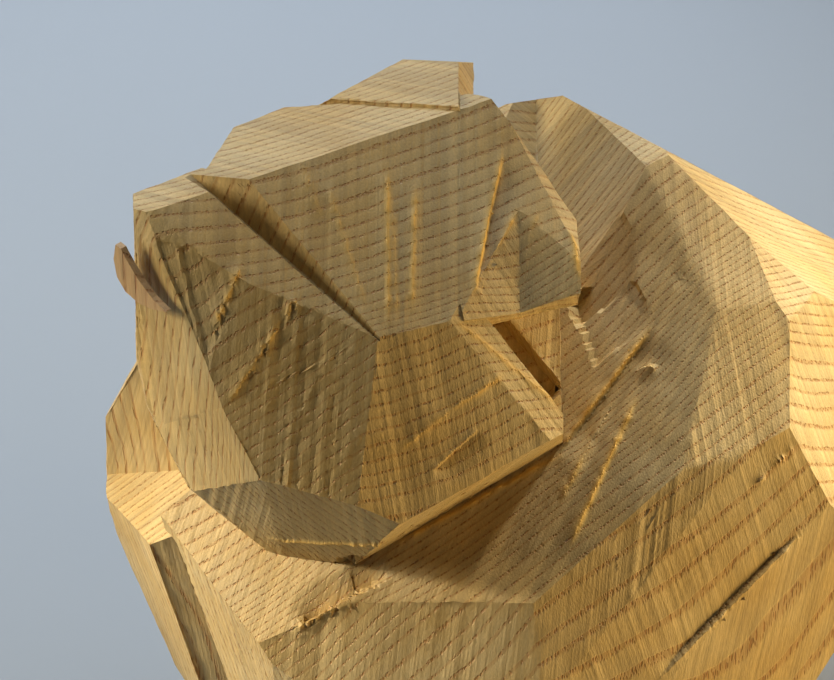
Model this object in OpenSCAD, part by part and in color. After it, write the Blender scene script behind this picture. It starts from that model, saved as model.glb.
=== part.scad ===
// Hand-carved wooden animal figure, hunched and seated, left with its knife
// facets showing.  Millimetres, +Z up, the figure looks along -Y and stands
// on the sawn face at Z = 0.  One block of ring-porous wood; a thin flake the
// knife lifted still sits on the front of the muzzle.

/* [Head] */
// height of the head's middle above the base
head_z = 120; // [110:1:130]
// how far the head's middle sits in front of the block's axis
head_forward = 25; // [20:1:30]
// reach of the near slope of the crown
crown_near = 20; // [18:0.5:22]
// reach of the far slope of the crown
crown_far = 21; // [19:0.5:23]
// reach of the rear cheek facet on the near side
cheek = 24; // [22:0.5:26]
// reach of the long front cheek facet
cheek_front = 22; // [20:0.5:24]

/* [Brow slit] */
// how far the slit opens towards the muzzle at its far end
slit_width = 7; // [5:0.5:8]
// depth of the slit at its far end
slit_depth = 9.5; // [7:0.5:11]

/* [Ears] */
// width of the slot under the near ear
ear_cut = 5; // [4:0.5:8]
// how deep the cheek is cut away under the near ear
ear_cut_depth = 13; // [8:0.5:16]
// thickness of the near ear flap
near_ear_thick = 5.5; // [4:0.5:7]
// how far the far ear stands above the crown
far_ear_rise = 0.5; // [0:0.5:2]

/* [Body] */
// height of the body's middle above the base
body_z = 60; // [55:1:65]
// how far the body's middle sits behind the block's axis
body_back = 8; // [5:1:12]
// where the groove down the front lies, from the middle
groove_x = 2; // [0:0.5:4]
// depth of the groove down the front
groove_depth = 6; // [3:0.5:9]

/* [Muzzle flake] */
// greatest width of the lifted flake
flake_width = 5; // [3:0.5:7]
// thickness of the flake
flake_thick = 0.8; // [0.6:0.1:1.2]

/* [Hidden] */
// reach of the brow slit to the far and to the near side of its middle
slit_far = 30;
slit_near = 21;
big = 220;

// Each facet is [turn, tilt, reach]: it faces turn degrees round from +X and
// tilt degrees up, and lies reach from the local middle.
// near side of the head, the side with the long cheek facets
head_near = [
    [-3, 63.5, crown_near], [-3.5, 30.5, cheek], [22, 39, 25.5],
    [-27.5, 34.5, cheek_front], [-32.5, 36.5, 22.5], [-37.5, -20, 28], [12, -30, 31]];
// front and top of the muzzle, and the chin
head_front = [
    [-69, 4, 23.5], [-72.5, 7.5, 23], [-46, -19.5, 27.5], [-75, 20, 26],
    [-107, 4, 22.5], [-99, -4, 23.5], [-88, -14, 25], [-68, -28, 28.5],
    [-31.5, 59, 24], [-27.5, 54, 23], [-7, 60, 21.5]];
// far side and back of the head
head_rest = [
    [187.5, 68, crown_far], [190, 46, 23.5], [163, 50, 24], [182, 8, 29],
    [212, 14, 26], [220, -20, 28], [170, -24, 30], [242, 5, 22.5],
    [102, 10, 27.5], [66, 3, 30.5], [60, 50, 31.5], [128, 30, 29]];
// shoulders, from the neck round to the near flank
shoulders = [
    [-39, 54, 52], [-33, 29, 53], [-153, 66, 59.5], [116, 45, 58], [171, 50, 62.5],
    [-11, 61.5, 60], [44, 53, 65], [-11, 50.5, 56.5], [39, 29, 56],
    [-9, 30, 51.5], [0, 21, 49], [6, 12.5, 47.5]];
// far side, far shoulder and back
body_rest = [
    [-108, 5, 63], [-130, 25, 63.5], [-99, -2.5, 60.5], [-80, -17, 54.5],
    [185, 30, 54], [205, 22, 60], [172, 8, 50], [150, 24, 54], [-162, 4, 52],
    [-136, 2, 58], [88, 46, 60], [98, 24, 60], [62, 26, 61], [122, 12, 58]];
// lower body, drawn in towards the base
body_low = [
    [30, 2, 52], [52, 4, 57], [80, 2, 60], [-30, -8, 48], [-55, -12, 49],
    [5, -16, 47], [34, -13, 45.5], [66, -19, 54], [100, -17, 55],
    [134, -18, 51], [165, -15, 49], [195, -17, 49], [228, -19, 54], [-28, -20, 47.5]];

// everything beyond one flat knife facet
module chop(f)
    rotate([0, -f[1], f[0]]) translate([f[2], -big/2, -big/2]) cube(big);

// a block with the first n facets of a list pared off it, one after another
module pared(list, n) {
    if (n == 0) children();
    else difference() {
        pared(list, n - 1) children();
        chop(list[n - 1]);
    }
}

// the part of a facet's cut in front of the brow slit, or behind it
slit_face = [-69, -7, 5];
module far_muzzle() intersection() { chop([188, 45, 20]); chop(slit_face); }
module far_brow() difference() { chop([228, 24, 19.5]); chop(slit_face); }

module head_form() {
    facets = concat(head_near, head_front, head_rest);
    difference() {
        difference() {
            pared(facets, len(facets)) translate([-45, -40, -50]) cube([90, 80, 90]);
            far_muzzle();
        }
        far_brow();
    }
}

module body_form() {
    facets = concat(shoulders, body_rest, body_low);
    difference() {
        difference() {
            pared(facets, len(facets)) translate([-60, -75, -body_z]) cube([120, 150, 140]);
            // near half of the chest
            difference() {
                translate([groove_x, -90, -90]) cube([90, 98, 190]);
                pared([[-55, 50, 54.5], [-76.5, -9, 50], [-68, -21, 50]], 3)
                    translate([groove_x - 5, -95, -95]) cube([100, 108, 200]);
            }
        }
        // far half of the chest
        difference() {
            translate([groove_x - 90, -90, -90]) cube([90, 98, 190]);
            pared([[-82, -8, 53.5]], 1)
                translate([groove_x - 95, -95, -95]) cube([100, 108, 200]);
        }
        // hollow facet beside the groove, opening towards the far foreleg
        intersection() {
            chop([-120, 50, 50]);
            translate([0, 0, -10]) linear_extrude(height = 90)
                polygon([[-78, -90], [groove_x, -43], [groove_x, -90]]);
        }
    }
}

// V-shaped slit cut across the brow, running out to nothing at the near cheek
module brow_slit()
    translate([9, -30, 139]) rotate([0, 24, 24]) rotate([-7, 0, 0])
        rotate([90, 0, 90]) translate([0, 0, -slit_far])
            linear_extrude(height = slit_far + slit_near, scale = 0.04)
                polygon([[slit_width/3, 14], [slit_width/3, 0], [0.3, -slit_depth],
                    [-0.9, -slit_depth], [-slit_width, 0], [-slit_width, 14]]);

// local frame of the near ear: x out of the cheek, z up along its lower edge
module at_ear() translate([24.5, -8.5, 126]) rotate([0, -40, 0]) rotate([26, 0, 0]) children();

// the cheek cut away behind its rim, leaving the ear standing over the gap
module under_ear() at_ear()
    translate([-ear_cut_depth, 0, -14]) cube([ear_cut_depth + 12, 16, 25]);

// the narrower slot that runs deeper, along the rim
module ear_slot() at_ear()
    translate([-ear_cut_depth - 4, 0, -11]) cube([ear_cut_depth + 16, ear_cut, 18]);

// near ear, a flap of the crown's own slope left standing over the slot
module near_ear() translate([0, -head_forward, head_z]) difference() {
    pared([[-3, 63.5, crown_near], [-4, -28, 13], [-95, 0, -12.5], [102, 10, 27.5],
        [68, 0, 32], [60, 50, 31.5]], 6) translate([2, 10, -2]) cube([30, 30, 26]);
    rotate([0, 116.5, -3]) translate([near_ear_thick - crown_near, -big/2, -big/2]) cube(big);
}

// V-shaped fold where two facets meet down the near ear
module ear_fold() translate([0, -head_forward, head_z]) intersection() {
    chop([21, 42, 25.5]);
    chop([-27.5, 51, 13.5]);
}

// hollow cut down between the back of the head and the far shoulder
module neck_hollow() translate([0, body_back, body_z])
    rotate([0, -38, -114]) translate([33, -60, 40]) cube([40, 69, 44]);

// far ear, a low slab left standing on the crown and past its far edge
module far_ear() translate([0, -head_forward, head_z]) difference() {
    pared([[187.5, 68, crown_far + far_ear_rise], [198, 44, 21], [153, 52, 30],
        [75, 25, 27], [-54.5, 0, -16.5]], 5) translate([-32, 0, 6]) cube([32, 40, 20]);
    rotate([0, 112, 187.5]) translate([4 - crown_far, -big/2, -big/2]) cube(big);
}

// groove down the middle of the chest, between the forelegs: each stretch is
// [height of its foot, depth it starts at, lean, length, half width]
module front_groove() {
    for (part = [[46, -43.5, 9, 42, 3.5], [-4, -28, 17, 56, 4]])
        translate([groove_x + 1, part[1], part[0]]) rotate([part[2], 0, 0])
            linear_extrude(height = part[3])
                polygon([[-part[4], -8], [-part[4], -0.5], [0, groove_depth - 1.5],
                    [part[4] - 0.5, -0.5], [part[4] - 0.5, -8]]);
}

module carved_block() color("BurlyWood") difference() {
    union() {
        difference() {
            union() {
                difference() {
                    translate([0, -head_forward, head_z]) head_form();
                    under_ear();
                }
                difference() {
                    translate([0, body_back, body_z]) body_form();
                    neck_hollow();
                }
            }
            ear_slot();
        }
        near_ear();
        far_ear();
    }
    brow_slit();
    ear_fold();
    front_groove();
}

module muzzle_flake() color("Wheat") translate([0, -head_forward, head_z])
    rotate([0, -4, -69]) translate([23.5, 0, 0]) rotate([90, 0, 90])
        linear_extrude(height = flake_thick) polygon([
            [-8.5, 12.5 + 0.8*flake_width], [-7.5, 12.5 + 0.8*flake_width],
            [-6, 15], [-4, 13.5], [-2, 12.5], [0.5, 12], [-2, 10.8], [-4.5, 10],
            [-7, 10.2], [-8.5, 11.5], [-9, 14]]);

carved_block();
muzzle_flake();
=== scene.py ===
"""Hand-carved wooden animal figure, hunched and seated, left with its knife facets showing.

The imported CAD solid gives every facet.  This script copies it, refines its skin, and adds what the
knife left on it: shallow flutes, cuts that stop short, torn fibres and a slight unevenness.  The
lifted flake keeps its CAD shape.
"""
import math

import bpy
import numpy as np
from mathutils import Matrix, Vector, noise


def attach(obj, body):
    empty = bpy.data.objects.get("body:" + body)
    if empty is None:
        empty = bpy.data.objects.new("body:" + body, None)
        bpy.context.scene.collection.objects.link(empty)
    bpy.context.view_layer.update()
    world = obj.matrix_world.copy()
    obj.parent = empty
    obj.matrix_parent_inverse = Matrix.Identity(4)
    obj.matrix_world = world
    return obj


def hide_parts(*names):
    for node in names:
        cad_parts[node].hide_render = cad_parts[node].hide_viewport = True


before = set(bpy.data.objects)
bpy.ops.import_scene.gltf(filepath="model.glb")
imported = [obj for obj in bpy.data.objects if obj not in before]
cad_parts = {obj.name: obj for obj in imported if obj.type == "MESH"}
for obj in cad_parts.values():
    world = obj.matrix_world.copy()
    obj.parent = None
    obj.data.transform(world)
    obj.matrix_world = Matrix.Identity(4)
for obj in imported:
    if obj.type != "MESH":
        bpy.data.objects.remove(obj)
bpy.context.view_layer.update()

MM = 0.001

# ---------------------------------------------------------------- camera, floor and lights

# above the figure's left front, looking down at its head, in mm
camera_place = Vector((197.4, -95.0, 321.6)) * MM
camera_aim = Vector((16.5, -18.2, 125.0)) * MM


def add_camera():
    bpy.ops.object.camera_add(location=camera_place)
    camera = bpy.context.object
    camera.rotation_euler = (camera_aim - camera_place).to_track_quat("-Z", "Y").to_euler()
    camera.data.lens = 100
    camera.data.sensor_width = 36
    camera.data.clip_start = 0.01
    bpy.context.scene.camera = camera


def add_softbox(name, place, aim, size, power, colour):
    """A square soft light at a place in mm, turned to a point in mm."""
    bpy.ops.object.light_add(type="AREA", location=Vector(place) * MM)
    lamp = bpy.context.object
    lamp.name = name
    lamp.rotation_euler = (Vector(aim) * MM - lamp.location).to_track_quat("-Z", "Y").to_euler()
    lamp.data.shape = "SQUARE"
    lamp.data.size = size * MM
    lamp.data.energy = power
    lamp.data.color = linear(colour)[:3]


def add_spot(name, place, aim, cone, power, colour):
    """A soft-edged spotlight at a place in mm, turned to a point in mm, its cone in degrees."""
    bpy.ops.object.light_add(type="SPOT", location=Vector(place) * MM)
    lamp = bpy.context.object
    lamp.name = name
    lamp.rotation_euler = (Vector(aim) * MM - lamp.location).to_track_quat("-Z", "Y").to_euler()
    lamp.data.spot_size = math.radians(cone)
    lamp.data.spot_blend = 0.7
    lamp.data.shadow_soft_size = 25 * MM
    lamp.data.energy = power
    lamp.data.color = linear(colour)[:3]


def linear(colour):
    """An sRGB hex colour as the linear RGBA that the shaders use."""
    channels = [int(colour[i:i + 2], 16) / 255 for i in (1, 3, 5)]
    return [c / 12.92 if c <= 0.04045 else ((c + 0.055) / 1.055) ** 2.4 for c in channels] + [1.0]


def add_node(material, kind, inputs=None, **settings):
    """One shader node with its settings; an input is a number, a colour or another node's output."""
    tree = material.node_tree
    made = tree.nodes.new("ShaderNode" + kind)
    for name, value in settings.items():
        setattr(made, name, value)
    for key, value in (inputs or {}).items():
        if isinstance(value, bpy.types.NodeSocket):
            tree.links.new(value, made.inputs[key])
        else:
            made.inputs[key].default_value = value
    return made


def new_material(name):
    material = bpy.data.materials.new(name)
    material.use_nodes = True
    material.node_tree.nodes.clear()
    return material


def finish_material(material, **inputs):
    """The material's one surface shader, and its output."""
    inputs = {name.replace("_", " "): value for name, value in inputs.items()}
    shader = add_node(material, "BsdfPrincipled", inputs)
    add_node(material, "OutputMaterial", {"Surface": shader.outputs["BSDF"]})
    return material


def painted_board():
    """Pale blue-grey matt board, rolled, so it shows no grain at this distance."""
    material = new_material("painted_board")
    place = add_node(material, "TexCoord").outputs["Object"]
    cloud = add_node(material, "TexNoise", {"Vector": place, "Scale": 3.0, "Detail": 2.0})
    tone = add_node(material, "Mix", {"Factor": cloud.outputs["Fac"], "A": linear("#a3aeb7"),
                                      "B": linear("#acb6bf")}, data_type="RGBA")
    return finish_material(material, Base_Color=tone.outputs["Result"], Roughness=0.9)


def add_floor():
    bpy.ops.mesh.primitive_plane_add(size=4.0, location=(0, 0, 0))
    floor = bpy.context.object
    floor.name = "floor"
    floor.data.materials.append(painted_board())


# ---------------------------------------------------------------- wood

def times(material, vector, by):
    """A vector multiplied by another, part by part."""
    return add_node(material, "VectorMath", {0: vector, 1: by}, operation="MULTIPLY").outputs[0]


def maths(material, operation, *values):
    """One operation on plain numbers."""
    return add_node(material, "Math", dict(enumerate(values)), operation=operation).outputs[0]


def ramp(material, value, low, high, start=0.0, end=1.0, smooth=False):
    """A value between low and high, turned into one from start to end."""
    limits = {"Value": value, "From Min": low, "From Max": high, "To Min": start, "To Max": end}
    kind = "SMOOTHSTEP" if smooth else "LINEAR"
    return add_node(material, "MapRange", limits, interpolation_type=kind).outputs[0]


def shaded(material, tone, by):
    """A colour made lighter or darker."""
    return add_node(material, "VectorMath", {0: tone, "Scale": by}, operation="SCALE").outputs[0]


def mixed(material, share, one, other):
    """One colour, with a share of another laid over it."""
    inputs = {"Factor": share, "A": one, "B": other}
    return add_node(material, "Mix", inputs, data_type="RGBA").outputs["Result"]


def ring_porous_wood(name, pale, rich, pore_colour):
    """Ash or chestnut, cut with a knife and left bare: rows of open pores mark each year's ring, the
    vessels run up the block, so they are dots on a flat facet and long grooves on an upright one."""
    material = new_material(name)
    place = add_node(material, "TexCoord").outputs["Object"]
    in_mm = times(material, place, (1000, 1000, 1000))
    # the rings wander a little along the stem
    wander = add_node(material, "TexNoise", {"Vector": in_mm, "Scale": 0.02, "Detail": 1.0})
    wander = wander.outputs["Color"]
    wander = add_node(material, "VectorMath", {0: wander, 1: (0.5, 0.5, 0.5)}, operation="SUBTRACT").outputs[0]
    wander = times(material, wander, (6, 6, 0))
    bent = add_node(material, "VectorMath", {0: in_mm, 1: wander}, operation="ADD").outputs[0]
    # distance from the pith, which lies well outside the block on its far side
    from_pith = add_node(material, "VectorMath", {0: bent, 1: (150, 15, 0)}, operation="ADD").outputs[0]
    from_pith = times(material, from_pith, (1, 1, 0))
    radius = add_node(material, "VectorMath", {0: from_pith}, operation="LENGTH").outputs["Value"]
    # rings about 1.6 mm wide, but half that in a band some 174 mm from the pith, after dry years
    dry = maths(material, "ADD", radius, -174.0)
    dry = maths(material, "MULTIPLY", dry, 0.13)
    dry = maths(material, "TANH", dry)
    slow = add_node(material, "TexNoise", {"W": radius, "Scale": 0.2, "Detail": 1.0},
                    noise_dimensions="1D").outputs["Fac"]
    count = maths(material, "MULTIPLY_ADD", radius, 0.62, slow)
    count = maths(material, "MULTIPLY_ADD", dry, 5.5, count)
    ring = maths(material, "FRACT", count)
    # early wood: the first part of each ring, where the open pores are
    early = ramp(material, ring, 0.14, 0.34, 1.0, 0.0, smooth=True)
    rise = ramp(material, ring, 0.0, 0.06, smooth=True)
    early = maths(material, "MULTIPLY", early, rise)
    # vessels 0.3 mm wide and some 6 mm long
    cells = times(material, bent, (3.0, 3.0, 0.16))
    vessel = add_node(material, "TexVoronoi", {"Vector": cells, "Scale": 1.0}, feature="F1")
    vessel = vessel.outputs["Distance"]
    pore = ramp(material, vessel, 0.30, 0.48, 1.0, 0.0, smooth=True)
    pore = maths(material, "MULTIPLY", pore, early)
    # fine fibre, 0.2 mm wide and 6 mm long
    hair = times(material, bent, (4.5, 4.5, 0.16))
    fibre = add_node(material, "TexNoise", {"Vector": hair, "Scale": 1.0, "Detail": 3.0, "Roughness": 0.6})
    fibre = fibre.outputs["Fac"]
    blotch = add_node(material, "TexNoise", {"Vector": in_mm, "Scale": 0.07, "Detail": 3.0}).outputs["Fac"]
    blotch = ramp(material, blotch, 0.35, 0.65)
    tone = mixed(material, blotch, linear(pale), linear(rich))
    tone = shaded(material, tone, ramp(material, fibre, 0.3, 0.7, 0.86, 1.08))
    # each ring darkens towards its late wood
    tone = shaded(material, tone, ramp(material, ring, 0.4, 1.0, 1.0, 0.88))
    tone = mixed(material, maths(material, "MULTIPLY", early, 0.38), tone, linear(pore_colour))
    tone = mixed(material, maths(material, "MULTIPLY", pore, 0.7), tone, linear(pore_colour))
    # torn fibre is yellower, and the same yellow, laid as a thin line along each torn crest, is also a painted
    # highlight where light catches the fibre
    torn_and_highlight = add_node(material, "Attribute", attribute_name="torn_and_highlight").outputs["Fac"]
    tone = mixed(material, torn_and_highlight, tone, linear("#ecbc5a"))
    # scratches along each knife stroke, 0.3 to 1 mm apart
    stroke = add_node(material, "UVMap", uv_map="strokes").outputs["UV"]
    fine = times(material, stroke, (140.0, 2.5, 0))
    scratch = add_node(material, "TexNoise", {"Vector": fine, "Scale": 1.0, "Detail": 2.0},
                       noise_dimensions="2D").outputs["Fac"]
    # the blade burnished some bands, and lifted the fibre in the darker ones between them
    broad = times(material, stroke, (55.0, 1.4, 0))
    band = add_node(material, "TexNoise", {"Vector": broad, "Scale": 1.0, "Detail": 3.0, "Roughness": 0.6},
                    noise_dimensions="2D").outputs["Fac"]
    tone = shaded(material, tone, ramp(material, band, 0.38, 0.62, 0.84, 1.05))
    # pores are 0.12 mm deep, and fibres stand some 0.03 mm proud
    relief = maths(material, "MULTIPLY", pore, -0.12)
    relief = maths(material, "MULTIPLY_ADD", fibre, 0.07, relief)
    relief = maths(material, "MULTIPLY_ADD", scratch, 0.12, relief)
    bump = add_node(material, "Bump", {"Height": relief, "Distance": MM, "Strength": 1.0}).outputs["Normal"]
    return finish_material(material, Base_Color=tone, Normal=bump, Roughness=0.62, IOR=1.5)


# ---------------------------------------------------------------- the carved block

def deselect():
    bpy.ops.object.select_all(action="DESELECT")


def copy_of_cad(node, name):
    """A copy of a CAD node's mesh as a new piece, its loose triangles merged into a closed skin."""
    deselect()
    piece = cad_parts[node].copy()
    piece.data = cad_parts[node].data.copy()
    for key in list(piece.keys()):
        del piece[key]
    piece.parent = None
    piece.name = piece.data.name = name
    bpy.context.scene.collection.objects.link(piece)
    piece.select_set(True)
    bpy.context.view_layer.objects.active = piece
    bpy.ops.object.mode_set(mode="EDIT")
    bpy.ops.mesh.select_all(action="SELECT")
    bpy.ops.mesh.remove_doubles(threshold=0.004 * MM)
    bpy.ops.mesh.customdata_custom_splitnormals_clear()
    bpy.ops.mesh.dissolve_limited(angle_limit=math.radians(0.2))
    bpy.ops.object.mode_set(mode="OBJECT")
    return piece


# Most ends in BURRS and STEPS, and the point on each facet in SHAVES, are rounded results of a
# separate ray-casting script.  They weren't chosen by hand.

# Torn lines that the blade dragged up: start, end, height and width in mm, and how strong their yellow crest
# is, torn fibre colour and painted highlight together
BURRS = [
    # crown, near slope
    ((3.5, -16.5, 141), (19.5, -23, 133), 0.35, 0.30, 1.0),
    ((7, -17.5, 139), (19.5, -22, 132.5), 0.25, 0.30, 0.3),
    ((6, -14, 139.5), (19, -20, 133), 0.30, 0.35, 0.7),
    ((0, -26, 142), (6, -26, 139), 0.25, 0.25, 0.3),
    ((3.5, -24, 140.5), (16.5, -25, 134), 0.22, 0.25, 0.3),
    # front cheek, long strokes side by side
    ((9.5, -37, 138.5), (12, -42, 132), 0.50, 0.35, 1.0),
    ((14.5, -32, 136), (17.5, -42.5, 125), 0.55, 0.35, 1.0),
    ((16.5, -30.5, 135), (20.5, -39.5, 124), 0.45, 0.30, 0.5),
    ((19.5, -28.5, 133.5), (24, -37.5, 121.5), 0.50, 0.35, 0.4),
    ((21, -27.5, 132), (26, -37, 119.5), 0.40, 0.30, 0.5),
    ((26.5, -29, 124), (29.5, -35, 117), 0.40, 0.45, 0.1),
    # edges of the near ear and the gap behind it
    ((11.9, -3.4, 137), (20.5, -12, 132.5), 0.30, 0.30, 1.0),
    ((13.1, -1.4, 136.4), (19.9, -6.2, 127.2), 0.35, 0.30, 1.0),
    ((16, 2.1, 135.1), (22.6, 0.4, 131.7), 0.35, 0.30, 1.0),
    ((21.3, -15.4, 131.7), (28.3, -3.8, 118.3), 0.25, 0.30, 0.6),
    # lower edge of the jaw
    ((17, -38.5, 98), (30, -26, 105), 0.35, 0.35, 0.8),
    ((23, -24, 96.7), (24.6, -2.1, 105.8), 0.35, 0.35, 1.0),
    # rear cheek
    ((26, -11, 125), (27, -18, 123), 0.35, 0.30, 1.0),
    ((27, -18, 123), (28, -25, 120), 0.30, 0.40, 0.5),
    # shoulder below the near ear
    ((24, 8.5, 111), (33.5, -4.5, 99.5), 0.45, 0.40, 1.0),
    ((22.5, 6.5, 111.2), (29, -4, 102.6), 0.35, 0.35, 0.8),
    ((21.5, 10, 114), (21.5, 12, 113), 0.80, 0.40, 0.2),
    # near flank
    ((36, 19.5, 102.5), (35, 25, 105.5), 0.40, 0.40, 0.2),
]
# Cuts that stop short: start, end, height, length of the slope on the left, how strong the yellow on the lip
# is, torn fibre colour and painted highlight together
STEPS = [
    ((5.5, -2.5, 140), (19, -12, 133), 0.7, 4, 0.9),
    ((28.5, -15.5, 120), (30, -22, 117), 0.5, 3, 0.0),
    ((18, 13, 116), (24.5, -2.5, 106), 0.8, 5, 0.9),
    ((24, -38, 88), (26.5, -26.5, 95.5), 1.6, 4, 0.5),
    ((44.5, 4, 81), (39.5, 25.5, 94), 0.6, 6, 0.2),
]
# Small facets behind the near ear: two corners of the box they lie in, a point on each and the way it
# faces.  The first slopes down into the slot.
SHAVES = [
    ((3, 5, 112), (13, 15, 126), (13.2, 13.6, 119.4), (0.30, -0.62, 0.72)),
    ((12.6, 5.5, 110), (18, 13.5, 121), (16.6, 12.4, 116.7), (0.35, -0.45, 0.82)),
]
# The longest edges of the skin in mm: along a torn line, at the ear, on the head, and on the rest of
# the near side and the far side
TORN_EDGE = 0.32
EAR_EDGE = 0.6
HEAD_EDGE = 0.9
NEAR_EDGE = 1.4
FAR_EDGE = 2.6


def line_gap(places, start, end):
    """Distance in mm of each place from a line between two points."""
    start, run = np.array(start, float), np.array(end, float) - np.array(start, float)
    share = np.clip((places - start) @ run / (run @ run), 0, 1)
    return np.linalg.norm(places - start - share[:, None] * run, axis=1)


def wanted_edge(place):
    """The longest edge, in mm, that the skin may have at a place: finest along the torn lines."""
    near = (place[:, 0] * 0.75 - place[:, 1] * 0.3 + place[:, 2] * 0.6) > 62
    head = near & (place[:, 2] > 92) & (place[:, 1] < 14)
    ear = np.linalg.norm(place - (22, -3, 126), axis=1) < 14
    size = np.where(ear, EAR_EDGE, np.where(head, HEAD_EDGE, np.where(near, NEAR_EDGE, FAR_EDGE)))
    for mark in BURRS + STEPS:
        size = np.where(line_gap(place, mark[0], mark[1]) < 0.6, TORN_EDGE, size)
    return size


def mesh_points(piece):
    """Every vertex of a piece, in mm."""
    flat = np.empty(len(piece.data.vertices) * 3)
    piece.data.vertices.foreach_get("co", flat)
    return flat.reshape(-1, 3) / MM


def refine(piece, rounds):
    """Halves every edge that is longer than wanted, until none is or the rounds run out."""
    bpy.ops.object.mode_set(mode="EDIT")
    bpy.ops.mesh.select_mode(type="EDGE")
    bpy.ops.mesh.select_all(action="SELECT")
    bpy.ops.mesh.quads_convert_to_tris(quad_method="BEAUTY", ngon_method="BEAUTY")
    for _ in range(rounds):
        bpy.ops.mesh.select_all(action="DESELECT")
        bpy.ops.object.mode_set(mode="OBJECT")
        points = mesh_points(piece)
        ends = np.empty(len(piece.data.edges) * 2, int)
        piece.data.edges.foreach_get("vertices", ends)
        start, end = points[ends[0::2]], points[ends[1::2]]
        long = np.linalg.norm(end - start, axis=1) > wanted_edge((start + end) / 2)
        if not long.any():
            break
        piece.data.edges.foreach_set("select", long)
        bpy.ops.object.mode_set(mode="EDIT")
        bpy.ops.mesh.subdivide(number_cuts=1, quadcorner="INNERVERT")
        bpy.ops.mesh.select_all(action="SELECT")
        bpy.ops.mesh.quads_convert_to_tris(quad_method="BEAUTY", ngon_method="BEAUTY")
    if piece.mode == "EDIT":
        bpy.ops.object.mode_set(mode="OBJECT")


def unit(rows):
    """Vectors scaled to a length of 1."""
    return rows / np.maximum(np.linalg.norm(rows, axis=-1, keepdims=True), 1e-9)


def read_noise(points, scale, seed=0.0):
    """Smooth noise, -1 to 1, at points in mm, with humps about scale mm across."""
    return np.array([noise.noise(Vector(p) / scale + Vector((seed, 0, 0))) for p in points])


class Skin:
    """The refined skin as arrays, with each facet's own knife stroke direction."""

    def __init__(self, piece):
        mesh = piece.data
        self.points = mesh_points(piece)
        self.faces = np.empty(len(mesh.loops), int)
        mesh.loops.foreach_get("vertex_index", self.faces)
        self.faces = self.faces.reshape(-1, 3)
        corners = self.points[self.faces]
        cross = np.cross(corners[:, 1] - corners[:, 0], corners[:, 2] - corners[:, 0])
        self.facing = unit(cross)
        self.normals = np.zeros_like(self.points)
        for corner in range(3):
            np.add.at(self.normals, self.faces[:, corner], cross)
        self.normals = unit(self.normals)
        # the strokes run down each facet's slope, a little askew; steep ones follow the fibre
        down = np.array((0.0, 0.0, -1.0)) + self.facing * self.facing[:, 2:3]
        level = np.cross(self.facing, unit(down))
        askew = 0.35 * np.sin(self.facing @ (37.0, 23.0, 51.0))[:, None]
        self.along = unit(unit(down) + askew * level)
        self.across = np.cross(self.facing, self.along)
        # torn fibre colour per point, partly a painted highlight along the torn crests
        self.torn_and_highlight = np.zeros(len(self.points))

    def stroke_place(self):
        """Across and along the strokes, in mm, for each corner of each triangle."""
        corners = self.points[self.faces]
        return np.stack([np.einsum("fcx,fx->fc", corners, self.across),
                         np.einsum("fcx,fx->fc", corners, self.along)], axis=-1)

    def push(self, height):
        """Moves the skin outwards by a height in mm."""
        self.points = self.points + self.normals * height[:, None]

    def reach(self, start, end, chosen, wander=0.0):
        """Share along a line, distance from it, and signed distance to its left, for chosen points."""
        start, run = np.array(start, float), np.array(end, float) - np.array(start, float)
        from_start = self.points[chosen] + wander - start
        share = np.clip(from_start @ run / (run @ run), 0, 1)
        off = from_start - share[:, None] * run
        side = np.einsum("px,px->p", off, np.cross(self.normals[chosen], unit(run)))
        return share, np.linalg.norm(off, axis=1), side


def flute(skin):
    """Shallow flutes left by the knife strokes, with a sharp line between each and the next.  They are
    deeper and closer on the front cheek, and on the steep faces where the blade split the fibre."""
    across = skin.stroke_place()[:, :, 0].mean(axis=1)
    facet = np.round(skin.facing @ (11.0, 7.0, 5.0), 1)
    cheek = np.clip((skin.facing @ (0.69, -0.42, 0.59) - 0.97) / 0.02, 0, 1)
    steep = np.clip((0.25 - skin.facing[:, 2]) / 0.2, 0, 1)
    close = np.maximum(cheek * 0.6, steep)
    width = (2.2 + 0.9 * np.sin(facet * 5.1)) * (1 - close) + 1.15 * close
    uneven = 0.9 * np.sin(across * 0.83 + facet * 3) + 0.5 * np.sin(across * 2.1 + facet)
    lie = np.mod((across + uneven) / width + facet, 1.0)
    front = steep * np.clip((-skin.facing[:, 1] - 0.6) / 0.2, 0, 1)
    strength = 0.14 + 0.34 * cheek + 0.10 * steep + 0.18 * front
    depth = -strength * 4 * lie * (1 - lie) * (0.6 + 0.4 * np.sin(across * 0.37 + facet * 2))
    total, count = np.zeros(len(skin.points)), np.zeros(len(skin.points))
    for corner in range(3):
        np.add.at(total, skin.faces[:, corner], depth)
        np.add.at(count, skin.faces[:, corner], 1)
    skin.push(total / count)


def burr(skin, start, end, height, width, torn_and_highlight):
    """A ragged crest of torn fibre along a line: steep on one side, and jagged along its top.  Its crest is
    painted yellow: the torn fibre's own colour, and a painted highlight where light catches it.
    """
    near = line_gap(skin.points, start, end) < 1.8
    points = skin.points[near]
    jag = np.stack([read_noise(points, 0.9, seed) for seed in (3.0, 17.0, 31.0)], axis=1)
    share, gap, side = skin.reach(start, end, near, 0.16 * jag)
    rough = 0.85 + 0.55 * read_noise(points, 1.5, 5.0)
    fade = np.clip(np.minimum(share, 1 - share) * 6 + 0.25, 0, 1)
    reach = np.where(side > 0, 0.30, width * 2.2)
    shape = np.exp(-gap / reach) * fade
    skin.points[near] += skin.normals[near] * (height * 1.1 * shape * rough)[:, None]
    # painted highlight and torn fibre colour together: a thin yellow line along the crest
    lit = torn_and_highlight * np.exp(-(gap / 0.4) ** 2) * fade * np.clip(rough + 0.3, 0, 1)
    skin.torn_and_highlight[near] = np.maximum(skin.torn_and_highlight[near], lit)


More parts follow.
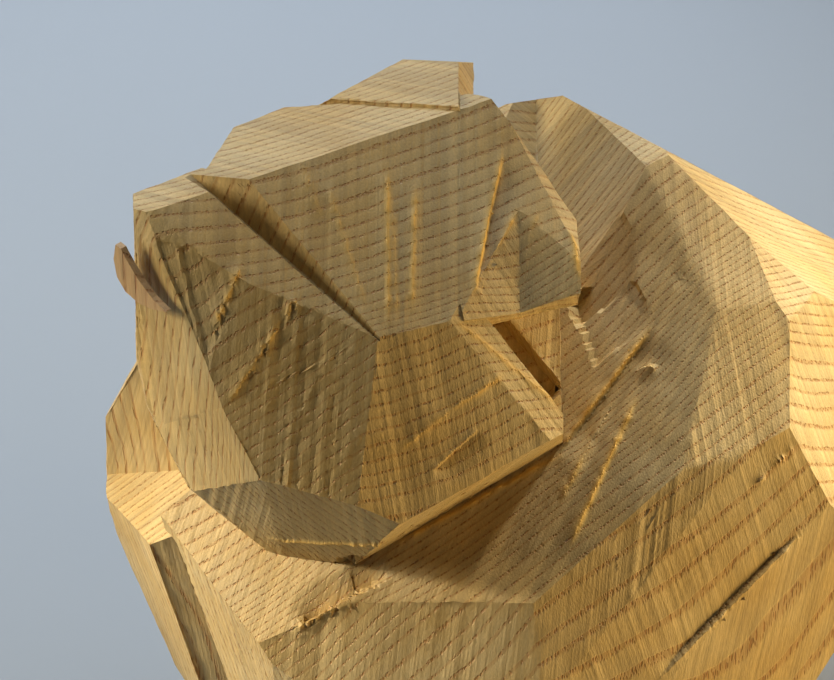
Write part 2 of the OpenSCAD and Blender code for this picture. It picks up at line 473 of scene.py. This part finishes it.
def step(skin, start, end, height, slope, torn_and_highlight):
    """A cut that stops short: the skin is lower on the line's left and rises again over the slope."""
    near = line_gap(skin.points, start, end) < slope * 1.2
    share, _, side = skin.reach(start, end, near)
    ends = np.clip(np.minimum(share, 1 - share) * 5, 0, 1)
    left = np.clip(side / 0.35, 0, 1) * np.clip(1 - side / slope, 0, 1)
    skin.points[near] -= skin.normals[near] * (height * left * ends)[:, None]
    burr(skin, start, end, height * 0.5, 0.3, torn_and_highlight)


def pit(skin, middle, radius, depth):
    """A small pit where fibre broke away."""
    gap = np.linalg.norm(skin.points - np.array(middle, float), axis=1)
    skin.push(-depth * np.clip(1 - (gap / radius) ** 2, 0, 1))


def shave(skin, low, high, foot, facing):
    """Pares the skin down to a flat facet through a foot point, inside a box between two corners."""
    facing = unit(np.array(facing, float))
    inside = np.all((skin.points > low) & (skin.points < high), axis=1)
    above = (skin.points - np.array(foot, float)) @ facing
    cut = inside & (above > 0) & (skin.normals @ facing > 0.2)
    skin.points[cut] -= above[cut, None] * facing


def crumple(skin):
    """What no knife leaves quite flat: a slight unevenness all over."""
    skin.push(0.10 * read_noise(skin.points, 4.0) + 0.035 * read_noise(skin.points, 1.3, 9.0))


def carved_figure():
    """The whole carving, head and body in one, cut from one block."""
    block = copy_of_cad("carved_block", "carved_figure")
    refine(block, 12)
    skin = Skin(block)
    strokes = skin.stroke_place()
    for facet in SHAVES:
        shave(skin, *facet)
    flute(skin)
    crumple(skin)
    for mark in STEPS:
        step(skin, *mark)
    for mark in BURRS:
        burr(skin, *mark)
    pit(skin, (15, 18.5, 120.5), 0.8, 0.3)
    block.data.vertices.foreach_set("co", (skin.points * MM).ravel())
    paint = block.data.uv_layers.new(name="strokes")
    paint.data.foreach_set("uv", (strokes / 100).ravel())
    # per-point share of the painted yellow: torn fibre colour and painted highlight
    torn_and_highlight = block.data.attributes.new("torn_and_highlight", "FLOAT", "POINT")
    torn_and_highlight.data.foreach_set("value", skin.torn_and_highlight)
    block.data.update()
    deselect()
    block.select_set(True)
    bpy.context.view_layer.objects.active = block
    bpy.ops.object.shade_smooth_by_angle(angle=math.radians(22))
    block.data.materials.clear()
    block.data.materials.append(ring_porous_wood("knife_cut_ash", "#cfb47a", "#c8a662", "#a06a26"))
    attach(block, "root")
    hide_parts("carved_block")


def lifted_flake():
    """The thin flake at the far side of the muzzle."""
    flake = copy_of_cad("muzzle_flake", "curled_flake")
    flake.data.materials.clear()
    flake.data.materials.append(ring_porous_wood("shaving_ash", "#d4b283", "#c9a068", "#a06a34"))
    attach(flake, "root")
    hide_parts("muzzle_flake")


def add_lights():
    """Six softboxes, and a spot each for the backdrop, the chest and the near flank."""
    add_softbox("left_window", (-160, -420, 290), (0, -30, 110), 200, 1.4, "#fff4dc")
    add_softbox("back_window", (-100, 420, 260), (0, 0, 100), 250, 0.35, "#e6eeff")
    add_softbox("far_window", (-450, 60, 330), (0, 0, 110), 220, 1.1, "#dfe8f8")
    add_softbox("ceiling", (-180, 20, 470), (0, 0, 110), 200, 0.64, "#e2ebfb")
    add_softbox("warm_flank", (220, 300, 100), (30, 0, 80), 150, 0.95, "#ffdf9c")
    add_softbox("warm_card", (210, 120, 50), (40, 20, 70), 110, 0.12, "#ffd27a")
    add_spot("backdrop_spot", (-230, 20, 420), (-170, 10, 0), 46, 1.2, "#eef2ff")
    add_spot("chest_spot", (-150, -400, 300), (14, -48, 72), 12, 11.0, "#fff6e8")
    add_spot("flank_spot", (-80, 330, 420), (40, 28, 86), 14, 14.5, "#fffaf0")


def add_room():
    """A faint even light from all round, and colours shown as they are."""
    bpy.context.scene.view_settings.view_transform = "Standard"
    world = bpy.data.worlds.new("soft_room")
    bpy.context.scene.world = world
    world.use_nodes = True
    world.node_tree.nodes["Background"].inputs["Color"].default_value = linear("#c4d0dc")
    world.node_tree.nodes["Background"].inputs["Strength"].default_value = 0.06


add_camera()
add_floor()
carved_figure()
lifted_flake()
add_lights()
add_room()
